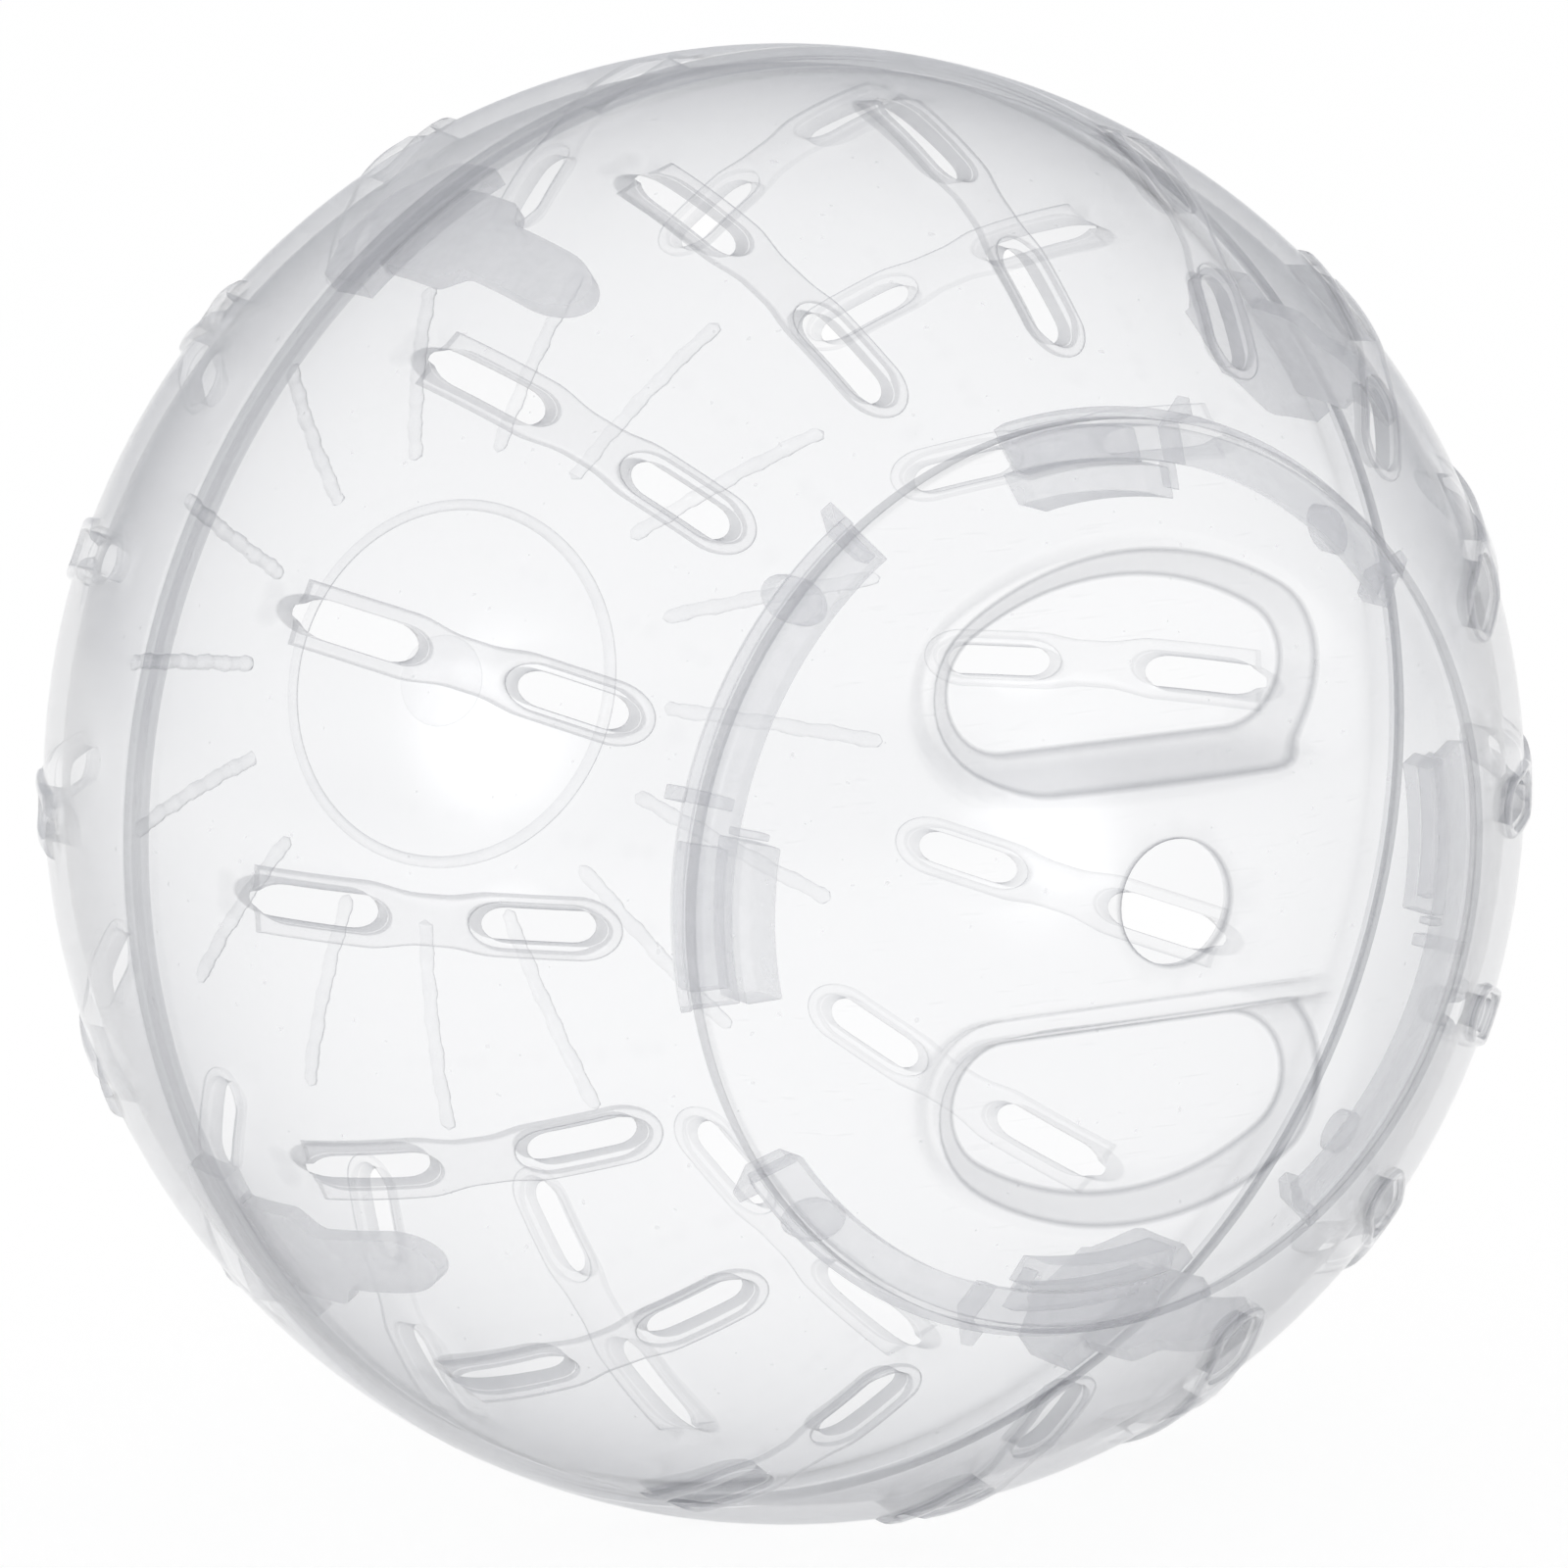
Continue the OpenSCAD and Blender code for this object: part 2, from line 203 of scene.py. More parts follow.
def pad_outline(depth, end_depth):
    """Angles of the pad's outline, at a distance inside it: up one side, round the pole end and back."""
    round_half = PAD_HALVES[0][1]
    centre = across(VENT_POLE_END) + round_half
    last = VENT_SEAM_END - math.degrees(end_depth / BALL)
    first = math.degrees(math.asin(centre / BALL))
    side = []
    for i in range(PAD_SIDE_STEPS + 1):
        polar = last + (first - last) * i / PAD_SIDE_STEPS
        half = pad_half(polar) - depth
        side.append((polar, math.degrees(math.asin(half / across(polar)))))
    cap = []
    for i in range(1, PAD_CAP_STEPS):
        turn = 180 * i / PAD_CAP_STEPS
        x = (round_half - depth) * cos(turn)
        y = centre - (round_half - depth) * sin(turn)
        cap.append((math.degrees(math.asin(math.hypot(x, y) / BALL)), math.degrees(math.atan2(x, y))))
    other = [(polar, -az) for polar, az in reversed(side)]
    half = side[0][1]
    close = [(last, -half + 2 * half * i / PAD_END_STEPS) for i in range(1, PAD_END_STEPS)]
    return side + cap + other + close


def slots_gap(polar, az):
    """Distance from the edge of the nearer slot."""
    return min(POLE_SLOT.gap(polar, az), SEAM_SLOT.gap(polar, az))


def outer_radius(polar, az, opening):
    """Radius of the outside: ball, pad and rounded rims, with the opening's where there is one."""
    side, end = pad_depths(polar, az)
    height = min(bulge(side, PAD_EDGE, PAD_H), bulge(end, PAD_END_EDGE, PAD_H),
                 bulge(SUNK.gap(polar, az), PAD_EDGE, PAD_H))
    rim = slots_gap(polar, az)
    if opening:
        rim = min(rim, BALL * math.radians(polar - OPENING_AT))
    return BALL + height - RIM + bulge(rim, RIM, RIM)


def inner_radius(polar, az):
    return INNER + RIM - bulge(slots_gap(polar, az), RIM, RIM)


def lean_at(polar):
    """Angle between the axis and the way the mould draws, from the pole to the seam."""
    if polar <= DRAW_TURNS_AT:
        return SLOT_LEAN * smooth((polar - LEAN_FROM) / (LEAN_TO - LEAN_FROM))
    turn = (polar - DRAW_TURNS_AT) / (90 - DRAW_TURNS_AT)
    return SLOT_LEAN + (90 - SLOT_LEAN) * turn ** 2


def draw_point(polar, az, radius):
    """Point at a radius that the mould's draw leads to from the ball's surface at these angles."""
    lean = lean_at(polar)
    out, up = across(polar), BALL * cos(polar)
    inward = out * sin(lean) + up * cos(lean)
    slide = inward - math.sqrt(inward ** 2 - BALL ** 2 + radius ** 2)
    out -= slide * sin(lean)
    up -= slide * cos(lean)
    return Vector((-out * sin(az), out * cos(az), up))


# Length on the ball of one degree; the sheets are triangulated on a map of the ball round its pole
PLANE = BALL * math.pi / 180


def to_plane(polar, az):
    return Vector((-PLANE * polar * sin(az), PLANE * polar * cos(az)))


def from_plane(point):
    return math.hypot(*point) / PLANE, math.degrees(math.atan2(-point[0], point[1]))


class Sheet:
    """Lines and loops in a plane, triangulated together."""

    def __init__(self):
        self.points = []
        self.edges = []
        self.loops = []

    def line(self, points, keep=lambda point: True, closed=False):
        ids = []
        for point in points:
            if keep(point):
                ids.append(len(self.points))
                self.points.append(point)
            else:
                ids.append(None)
        pairs = list(zip(ids, ids[1:]))
        if closed:
            pairs.append((ids[-1], ids[0]))
        self.edges += [pair for pair in pairs if None not in pair]
        return ids

    def loop(self, points):
        ids = self.line(points, closed=True)
        self.loops.append(ids)
        return ids

    def triangles(self):
        """Points, faces between the first loop and the others, and where each given point went."""
        points, _, faces, came_from, _, faces_from = delaunay_2d_cdt(
            self.points, self.edges, self.loops, 1, 1e-6)
        place = {}
        for new, olds in enumerate(came_from):
            for old in olds:
                place[old] = new
        kept = [face for face, inside in zip(faces, faces_from) if inside == [0]]
        return points, kept, place


# Points closer than this are one point, and faces that meet at more than this angle show an edge
SAME_POINT = 0.004
SHARP_AT = 38


class Body:
    """Points and faces of one moulding, given in millimetres across and up along the door's axis.

    side is 1 where heights run from the ball's middle to the door, and -1 where they run to the other pole.
    """

    def __init__(self, side):
        self.side = side
        self.points = []
        self.faces = []

    def add(self, points, faces, turn=0):
        first = len(self.points)
        for point in points:
            x = point[0] * cos(turn) - point[1] * sin(turn)
            y = point[0] * sin(turn) + point[1] * cos(turn)
            self.points.append(Vector((x, -self.side * point[2], y)) * MM)
        self.faces += [tuple(first + i for i in face) for face in faces]

    def piece(self, name, material):
        mesh = bpy.data.meshes.new(name)
        mesh.from_pydata(self.points, [], self.faces)
        model = bmesh.new()
        model.from_mesh(mesh)
        bmesh.ops.remove_doubles(model, verts=model.verts, dist=SAME_POINT * MM)
        bmesh.ops.recalc_face_normals(model, faces=model.faces)
        model.to_mesh(mesh)
        model.free()
        mesh.polygons.foreach_set("use_smooth", [True] * len(mesh.polygons))
        mesh.set_sharp_from_angle(angle=math.radians(SHARP_AT))
        mesh.materials.append(material)
        piece = bpy.data.objects.new(name, mesh)
        scene.collection.objects.link(piece)
        return piece


def vent_sheet(raised, opening):
    """One vent's share of a half's outside, where raised, or inside: the sheet, and the slots' edges."""
    start = OPENING_AT
    half = STEP / 2
    grid = GRID / PLANE
    rim_rings = [start + share * RIM / PLANE for share in RIM_RINGS] if raised and opening else []
    count = round((SHEET_END - start) / grid)
    rows = [start + (SHEET_END - start) * i / count for i in range(1, count)]
    rows = [row for row in rows if all(abs(row - ring) > 0.3 * grid for ring in rim_rings)]
    rows = sorted(rows + rim_rings)
    arc = [-half + STEP * i / ARC_STEPS for i in range(ARC_STEPS + 1)]
    sheet = Sheet()
    edge = [(start, az) for az in arc]
    edge += [(polar, half) for polar in rows]
    edge += [(SHEET_END, az) for az in reversed(arc)]
    edge += [(polar, -half) for polar in reversed(rows)]
    sheet.loop([to_plane(*angles) for angles in reversed(edge)])
    holes = [sheet.loop([to_plane(*angles) for angles in slot.outline(0)])
             for slot in (POLE_SLOT, SEAM_SLOT)]

    def outside(point):
        return slots_gap(*from_plane(point)) > CLEAR_OF_SLOT

    for ring in rim_rings:
        sheet.line([to_plane(ring, az) for az in arc])
    for slot in (POLE_SLOT, SEAM_SLOT):
        for share in RIM_LINES:
            sheet.line([to_plane(*angles) for angles in slot.outline(share * RIM)], outside, True)
    if raised:
        for share in PAD_LINES:
            sheet.line([to_plane(*angles) for angles in SUNK.outline(share * PAD_EDGE)], outside, True)
            loop = pad_outline(share * PAD_EDGE, share * PAD_END_EDGE)
            sheet.line([to_plane(*angles) for angles in loop], outside, True)
    for row, polar in enumerate(rows):
        across_steps = max(4, round(STEP * math.radians(1) * polar * PLANE / GRID))
        for i in range(1, across_steps):
            az = -half + STEP * (i + 0.5 * (row % 2)) / across_steps
            side, end = pad_depths(polar, az)
            free = slots_gap(polar, az) > 0.5 * GRID
            if raised:
                free = free and not -0.5 * GRID < min(side, end) < 1
            if free and az < half * 0.98:
                sheet.line([to_plane(polar, az)])
    return sheet, holes


def shell_body(body, opening):
    """The vented wall from the opening's angle to the seam: outside, inside and slot walls."""
    outer, holes = vent_sheet(True, opening)
    inner, inner_holes = vent_sheet(False, opening)
    outer_points, outer_faces, outer_place = outer.triangles()
    inner_points, inner_faces, inner_place = inner.triangles()
    outside = [draw_point(*from_plane(p), outer_radius(*from_plane(p), opening)) for p in outer_points]
    inside = [draw_point(*from_plane(p), inner_radius(*from_plane(p))) for p in inner_points]
    shift = len(outside)
    walls = []
    for loop, inner_loop in zip(holes, inner_holes):
        tops = [outer_place[i] for i in loop]
        feet = [shift + inner_place[i] for i in inner_loop]
        walls += [(tops[i - 1], tops[i], feet[i], feet[i - 1]) for i in range(len(loop))]
    faces = outer_faces + [tuple(shift + i for i in face) for face in inner_faces] + walls
    for vent in range(VENTS):
        body.add(outside + inside, faces, vent * STEP)


def revolve(body, profile, az_from, az_to, steps, closed):
    """Strips of a profile, given as distances from the axis and heights, turned round the axis."""
    points = []
    faces = []
    n = len(profile)
    for i in range(steps + 1):
        az = az_from + (az_to - az_from) * i / steps
        points += [Vector((-out * sin(az), out * cos(az), up)) for out, up in profile]
    for i in range(steps):
        for j in range(n if closed else n - 1):
            k = (j + 1) % n
            faces.append((i * n + j, (i + 1) * n + j, (i + 1) * n + k, i * n + k))
    if closed:
        faces.append(tuple(reversed(range(n))))
        faces.append(tuple(steps * n + j for j in range(n)))
    body.add(points, faces)


def height(radius, out):
    return math.sqrt(radius ** 2 - out ** 2)


def on(radius, out):
    """Point of a profile on a sphere, at a distance from the axis."""
    return out, height(radius, out)


def edge_profile(radius):
    """The sheets' end near the seam, as a profile point."""
    point = draw_point(SHEET_END, 0, radius)
    return point.y, point.z


def turned(body, profile):
    """A profile turned all the way round, on the same angles as the sheets' ends."""
    revolve(body, profile, -STEP / 2, 360 - STEP / 2, ALL_ROUND, False)


def front_shell(body):
    """Vented wall, rim of the opening, and the seam with its rebate."""
    shell_body(body, True)
    turned(body, [on(BALL - RIM, across(OPENING_AT)), on(INNER, across(OPENING_AT))])
    soft = 0.15
    rebate, rebate_h = 59.3, 1.65
    turned(body, [edge_profile(BALL), (across(SEAM_TURN), BALL * cos(SEAM_TURN)), (BALL, soft),
                  (BALL - soft, 0), (rebate + soft, 0), (rebate, soft), (rebate, rebate_h),
                  (INNER, rebate_h), edge_profile(INNER)])


def rear_shell(body):
    """Vented wall, closed pole, and the seam with its lip."""
    shell_body(body, False)
    soft = 0.12
    gap, lip_out, lip_in, lip_h, lip_root = 0.25, 59.05, 58.35, 1.4, 1.9
    turned(body, [edge_profile(BALL), (across(SEAM_TURN), BALL * cos(SEAM_TURN)), (BALL, gap + soft),
                  (BALL - soft, gap), (lip_out, gap), (lip_out, soft - lip_h), (lip_out - soft, -lip_h),
                  (lip_in + soft, -lip_h), (lip_in, soft - lip_h), (lip_in, lip_root), edge_profile(INNER)])
    pole_rings = 12
    for radius in (BALL, INNER):
        turned(body, [on(radius, across(OPENING_AT * i / pole_rings)) for i in range(pole_rings + 1)])


def soften(body, name, material, width):
    """Piece of a body whose edges of 30 degrees and more are rounded to a width."""
    piece = body.piece(name, material)
    model = bmesh.new()
    model.from_mesh(piece.data)
    edges = [edge for edge in model.edges
             if len(edge.link_faces) == 2 and edge.calc_face_angle() > math.radians(30)]
    bmesh.ops.bevel(model, geom=edges, offset=width * MM, segments=3, profile=0.6, affect="EDGES",
                    clamp_overlap=True)
    model.to_mesh(piece.data)
    model.free()
    piece.data.polygons.foreach_set("use_smooth", [True] * len(piece.data.polygons))
    piece.data.set_sharp_from_angle(angle=math.radians(45))
    return piece


# Door's seat
LEDGE_IN = 32.61
LEDGE_TOP, LEDGE_UNDER = 58.15, 56.75
SLOPE_W = 0.75
RIB_UNDER = 55.3
RIB_REACH = 2.05
LEDGE_FROM, LEDGE_TO = 34.6, 100.6
RIB_TURN = 1.76
SECOND_RIB_TO = 75
STOP_FROM, STOP_TO = 76.85, 77.9
STOP_IN = 30.71
PAD_AT = 46
PAD_R = 1.8
PAD_STEPS = 20


def inside_ledge():
    """Radius just inside the ledge, where its ribs and pads begin."""
    return LEDGE_UNDER + SUNK_BY


def sector_piece(body, profile, az_from, az_to):
    """A closed block: a profile carried from one angle to another in steps of about 2 degrees."""
    revolve(body, profile, az_from, az_to, max(2, round((az_to - az_from) / 2)), True)


def seat(body):
    """Ledges with their two ribs, stops and round pads, in four quarters."""
    wall = INNER + SUNK_BY
    slope_end = OPENING + SLOPE_W
    knee = OPENING - SLOPE_W
    tip = OPENING + RIB_REACH
    ledge = [on(LEDGE_TOP, LEDGE_IN), on(LEDGE_UNDER, LEDGE_IN), on(LEDGE_UNDER, OPENING),
             on(wall, slope_end), on(wall, OPENING + SUNK_BY), on(LEDGE_TOP, OPENING + SUNK_BY)]
    inside = inside_ledge()
    rib = [on(inside, LEDGE_IN), on(RIB_UNDER, LEDGE_IN), on(RIB_UNDER, knee), on(wall, tip),
           on(wall, slope_end - SUNK_BY), on(inside, OPENING)]
    stop = [on(LEDGE_TOP, STOP_IN), on(LEDGE_UNDER, STOP_IN), on(LEDGE_UNDER, LEDGE_IN + SUNK_BY),
            on(LEDGE_TOP, LEDGE_IN + SUNK_BY)]
    for quarter in range(4):
        turn = 90 * quarter
        sector_piece(body, ledge, turn + LEDGE_FROM, turn + LEDGE_TO)
        sector_piece(body, rib, turn + LEDGE_FROM, turn + LEDGE_FROM + RIB_TURN)
        sector_piece(body, rib, turn + SECOND_RIB_TO - RIB_TURN, turn + SECOND_RIB_TO)
        sector_piece(body, stop, turn + STOP_FROM, turn + STOP_TO)
        round_pad(body, turn + PAD_AT)


def round_pad(body, turn):
    """A round pad under a ledge, as an ejector pin leaves it."""
    middle = (LEDGE_IN + OPENING) / 2
    n = PAD_STEPS
    ring = [(PAD_R * cos(360 * i / n), middle + PAD_R * sin(360 * i / n)) for i in range(n)]
    points = [Vector((x, y, height(radius, math.hypot(x, y))))
              for radius in (inside_ledge(), RIB_UNDER) for x, y in ring]
    faces = [((i - 1) % n, i, n + i, n + (i - 1) % n) for i in range(n)]
    faces += [tuple(range(n)), tuple(reversed(range(n, 2 * n)))]
    body.add(points, faces, turn)


# Door's tabs
TAB_AT = -0.35
STEM_OUT, STEM_IN = 32.31, 30.01
STEM_TURN = 11.17
FOOT_OUT = 34.76
FOOT_TOP, FOOT_UNDER = 56.5, 55.0
FOOT_TURN = 9.56


def tabs(body, under):
    """Four tabs, each a stem under the door's wall with a foot on it."""
    stem = [on(under + SUNK_BY, STEM_IN), on(FOOT_UNDER, STEM_IN), on(FOOT_UNDER, STEM_OUT),
            on(under + SUNK_BY, STEM_OUT)]
    foot = [on(FOOT_TOP, STEM_OUT - SUNK_BY), on(FOOT_UNDER + 0.01, STEM_OUT - SUNK_BY),
            on(FOOT_UNDER, FOOT_OUT), on(FOOT_TOP, FOOT_OUT)]
    for quarter in range(4):
        turn = TAB_AT + 90 * quarter
        sector_piece(body, stem, turn - STEM_TURN, turn + STEM_TURN)
        sector_piece(body, foot, turn - FOOT_TURN, turn + FOOT_TURN)


# Tongues: distances past the seam and half widths
TONGUE_AT = 33.6
TONGUE_OUT, TONGUE_IN = 58.2, 57.0
TONGUE_HALF = 2.75
TONGUE_L, TIP_L = 21.9, 4.6
FOOT_HALF, FOOT_L, FLARE_L = 4.7, 7.6, 2.8
ROOT_HALF, ROOT_L, ROOT_TO = 7.3, 9.5, 1.15
ROOT_EVEN, ROOT_NARROWS = 0.55, 0.55


def tongue_half(along):
    """Half width of a tongue: a foot, a flare, an even stretch and a round tip."""
    if along < FOOT_L:
        return FOOT_HALF
    if along < FOOT_L + FLARE_L:
        return FOOT_HALF + (TONGUE_HALF - FOOT_HALF) * smooth((along - FOOT_L) / FLARE_L)
    tip = max(0, along - (TONGUE_L - TIP_L)) / TIP_L
    return TONGUE_HALF * math.sqrt(max(0.003, 1 - tip ** 2))


def root_half(along):
    """Half width of a root plate, which narrows over the part farthest from the seam."""
    narrow = smooth((-along - ROOT_EVEN * ROOT_L) / ((1 - ROOT_EVEN) * ROOT_L))
    return ROOT_HALF * (1 - ROOT_NARROWS * narrow)


def plate(body, rows, half_at, outer, inner, turn):
    """A plate that follows the ball, row by row, with its width from a function."""
    columns = 8
    points, faces = [], []
    for radius in (outer, inner):
        for along in rows:
            half = half_at(along)
            for j in range(columns + 1):
                x = half * (2 * j / columns - 1)
                points.append(Vector((x, math.sqrt(radius ** 2 - x ** 2 - along ** 2), along)))
    n = columns + 1
    shift = len(rows) * n
    for i in range(len(rows) - 1):
        for j in range(columns):
            a = i * n + j
            faces.append((a, a + 1, a + 1 + n, a + n))
            faces.append((shift + a, shift + a + n, shift + a + 1 + n, shift + a + 1))
        for j in (0, columns):
            a = i * n + j
            faces.append((a, a + n, shift + a + n, shift + a))
    for i in (0, len(rows) - 1):
        for j in range(columns):
            a = i * n + j
            faces.append((a, a + 1, shift + a + 1, shift + a))
    body.add(points, faces, turn)


def tongues(body):
    """Four tongues past the seam, each with a root plate inside the rear half."""
    flat = TONGUE_L - TIP_L
    rows = [FOOT_L * i / 4 for i in range(4)] + [FOOT_L + FLARE_L * i / 5 for i in range(6)]
    rows += [FOOT_L + FLARE_L + (flat - FOOT_L - FLARE_L) * i / 4 for i in range(1, 4)]
    rows += [flat + TIP_L * math.sin(math.pi / 2 * i / 9) for i in range(10)]
    back = [ROOT_TO - (ROOT_TO + ROOT_L) * i / 12 for i in range(13)]
    for i in range(4):
        plate(body, rows, tongue_half, TONGUE_OUT, TONGUE_IN, TONGUE_AT + 90 * i)
        plate(body, back, root_half, INNER + SUNK_BY, TONGUE_IN, TONGUE_AT + 90 * i)


# Beads inside the rear pole
RING_R, RING_HALF = 15.5, 0.5
RAY_FROM, RAY_L, RAY_HALF = 20.3, 16.7, 0.65
RAY_ROWS = 44
WAVES, WAVE_SHIFT = 2.4, 1.9
BEAD_H = 0.6
GATE_R, GATE_H = 4, 0.25


def lift(u, high):
    """Radius of a round bead's face, from side to side as u goes from -1 to 1."""
    return INNER + SUNK_BY - (high + SUNK_BY) * math.sqrt(max(0, 1 - u * u))


def beads(body):
    """Ring, flat gate disc and wavy rays, moulded on the inside of the pole."""
    across_bead = [cos(180 * j / 8) for j in range(9)]
    turned(body, [on(lift(u, BEAD_H), RING_R + RING_HALF * u) for u in across_bead])
    disc = [on(INNER - GATE_H, GATE_R * i / 4) for i in range(4)]
    edge = [on(INNER - GATE_H, GATE_R - GATE_H), on(INNER - 0.6 * GATE_H, GATE_R - 0.3 * GATE_H),
            on(INNER, GATE_R)]
    turned(body, disc + edge)
    for ray in range(VENTS):
        points = []
        for i in range(RAY_ROWS + 1):
            along = RAY_L * i / RAY_ROWS
            end = min(along, RAY_L - along) / RAY_HALF
            half = RAY_HALF * math.sqrt(1 - (1 - min(end, 1)) ** 2 + 1e-4)
            # The sides waver by about a tenth of the width, and the whole ray drifts a little
            phase = along * WAVES + ray * WAVE_SHIFT
            half *= 1 + 0.09 * math.sin(phase) + 0.06 * math.sin(2.3 * phase + 1)
            drift = 0.05 * math.sin(0.6 * phase + ray)
            high = BEAD_H * half / RAY_HALF
            for u in across_bead:
                x, y = half * u + drift, RAY_FROM + along
                points.append(Vector((x, y, height(lift(u, high), math.hypot(x, y)))))
        n = len(across_bead)
        faces = [(i * n + j, i * n + j + 1, (i + 1) * n + j + 1, (i + 1) * n + j)
                 for i in range(RAY_ROWS) for j in range(n - 1)]
        body.add(points, faces, (ray + 0.5) * STEP)


# Door
DOOR_R, DOOR_WALL = 59.7, 1.3
DOOR_EDGE = 35.31
HOLE_R = 4.9
EDGE_SOFT = 0.3
RIM_STEPS, HOLE_STEPS = 160, 48

# Finger recesses: height of the floor, then straight side, reach and half width at the floor and the mouth
RECESS_FLOOR = 50.5
FLOOR = (11.2, 24.2, 15.1)
MOUTH = (8.6, 31.1, 25.1)
MOUTH_SOFT, FLOOR_SOFT = 2.2, 0.8
# Band of painted shade for light bent round the floor, and the width of the painted dark lines along it
BAND_W, LINE_W = 2.1, 0.35
# Lines of points: near the floor by distance outside it, and up the wall and past the mouth by share
NEAR_FLOOR = (-0.35, -0.15, 0, 0.15, 0.35, 1, 1.75, 1.95, 2.1, 2.25, 2.45)
NEAR_FLOOR_ENDS = 2.6
UP_WALL = [0.3 + 0.1 * i for i in range(9)] + [1.25, 1.4]


def recess_at(share, grow):
    """Straight side, reach and half width of the recess between its floor, 0, and its mouth, 1."""
    flat, reach, half = (low + (high - low) * share for low, high in zip(FLOOR, MOUTH))
    return flat - grow, reach + grow, half + grow


def recess_end(flat, reach, half):
    """Middle and radius of the round end that meets the straight side and the long arc."""
    along = flat + reach
    end_x = along - math.sqrt(2 * (reach - half) * along)
    return end_x, flat + half - end_x, half - end_x


def recess_outline(share, grow):
    """Outline of the recess, from the middle of its straight side round to it again."""
    flat, reach, half = recess_at(share, grow)
    end_x, end_y, end_r = recess_end(flat, reach, half)
    meet = math.degrees(math.atan2(end_y, end_x))
    side_steps, arc_steps = 9, 16
    corner_turns = [-90 + (90 + meet) * i / arc_steps for i in range(arc_steps)]
    arc_turns = [meet + (90 - meet) * i / arc_steps for i in range(arc_steps + 1)]
    right = [(end_x * i / side_steps, flat) for i in range(side_steps)]
    right += [(end_x + end_r * cos(turn), end_y + end_r * sin(turn)) for turn in corner_turns]
    right += [(reach * cos(turn), reach * sin(turn)) for turn in arc_turns]
    return right + [(-x, y) for x, y in reversed(right[1:-1])]


def recess_gap(x, y, share, grow):
    """Distance outside the recess's outline."""
    flat, reach, half = recess_at(share, grow)
    end_x, end_y, end_r = recess_end(flat, reach, half)
    x = abs(x)
    if x > end_x and y * end_x < x * end_y:
        return math.hypot(x - end_x, y - end_y) - end_r
    return max(flat - y, math.hypot(x, y) - reach)


def recess_share(x, y, grow):
    """How far up its wall the recess passes over a place: 0 at the floor's edge, 1 at the mouth."""
    low, high = -1, 2.2
    for _ in range(26):
        middle = (low + high) / 2
        if recess_gap(x, y, middle, grow) > 0:
            low = middle
        else:
            high = middle
    return low


def soft_min(a, b, blend):
    """The lower of two heights, with a fillet where they cross."""
    share = max(blend - abs(a - b), 0) / blend
    return min(a, b) - share ** 2 * blend / 4


def door_height(x, y, grow):
    """Height of the door's face, or of its underside where the wall is taken off."""
    cap = height(DOOR_R - grow, math.hypot(x, y))
    share = recess_share(x, abs(y), grow)
    floor = RECESS_FLOOR - grow
    wall = floor + (BALL - floor) * share
    return soft_min(cap, -soft_min(-wall, -floor, FLOOR_SOFT), MOUTH_SOFT)


def circle(radius, count):
    return [Vector((radius * cos(360 * i / count), radius * sin(360 * i / count))) for i in range(count)]


def door_sheet(grow):
    """The door's face, or its underside where grown by the wall, as seen along the axis."""
    sheet = Sheet()
    rim = sheet.loop(circle(DOOR_EDGE, RIM_STEPS))
    hole = sheet.loop(circle(HOLE_R, HOLE_STEPS))
    for inset in (0.1, 0.35, 1):
        sheet.line(circle(DOOR_EDGE - inset * EDGE_SOFT, RIM_STEPS), closed=True)
        sheet.line(circle(HOLE_R + inset * EDGE_SOFT, HOLE_STEPS), closed=True)

    def keep(point):
        return HOLE_R + 0.6 < point.length < DOOR_EDGE - 0.7 and abs(point.y) > 0.5

    def past_floor(point):
        return keep(point) and recess_gap(point.x, abs(point.y), 0, grow) > NEAR_FLOOR_ENDS

    for side in (1, -1):
        for gap in NEAR_FLOOR:
            sheet.line([Vector((x, side * y)) for x, y in recess_outline(0, grow + gap)], keep, True)
        for share in UP_WALL:
            sheet.line([Vector((x, side * y)) for x, y in recess_outline(share, grow)], past_floor, True)
    across_step, row_step, reach = 2.4, 2.1, 14
    for row in range(-reach, reach + 1):
        for column in range(-reach, reach + 1):
            point = Vector(((column + 0.5 * (row % 2)) * across_step, row * row_step))
            share = recess_share(point.x, abs(point.y), grow)
            if keep(point) and not -0.25 < share < 1.5 and point.length < DOOR_EDGE - 1.5:
                sheet.line([point])
    return sheet, rim, hole


def door_shell(body):
    """Face, underside, rim and hole of the door."""
    places = []
    for grow in (0, DOOR_WALL):
        sheet, rim, hole = door_sheet(grow)
        points, faces, place = sheet.triangles()
        first = len(body.points)
        solid = []
        for x, y in points:
            up = door_height(x, y, grow)
            out = math.hypot(x, y)
            edge = min(DOOR_EDGE - out, out - HOLE_R)
            round_off = EDGE_SOFT - bulge(edge, EDGE_SOFT, EDGE_SOFT)
            solid.append(Vector((x, y, up - round_off * (1 if grow == 0 else -1))))
        body.add(solid, faces)
        places.append(([first + place[i] for i in rim], [first + place[i] for i in hole]))
    for tops, feet in zip(*places):
        body.faces += [(tops[i - 1], tops[i], feet[i], feet[i - 1]) for i in range(len(tops))]


# Colours of the plastic, clear where it faces the eye and darker at its edges with painted shade, its milk,
# and the studio
CLEAR = (0.993, 0.994, 0.996, 1)
EDGE_SHADE = (0.55, 0.555, 0.575, 1)
MILK = (0.78, 0.78, 0.8, 1)
FROST_MILK = (0.8, 0.8, 0.82, 1)
TONGUE_MILK = (0.72, 0.72, 0.74, 1)
BEAD_MILK = (0.65, 0.65, 0.67, 1)
WHITE = (1, 1, 1, 1)
ROOM = (0.6, 0.61, 0.64, 1)
# Share of light that clear plastic mirrors when seen straight on
STRAIGHT_MIRROR = 0.04
# Paper on the floor, in metres, and how much of what the camera sees of it is plain white
PAPER_HALF = 3
PAPER_GAP = 0.0002
PAPER_WHITE = 0.87
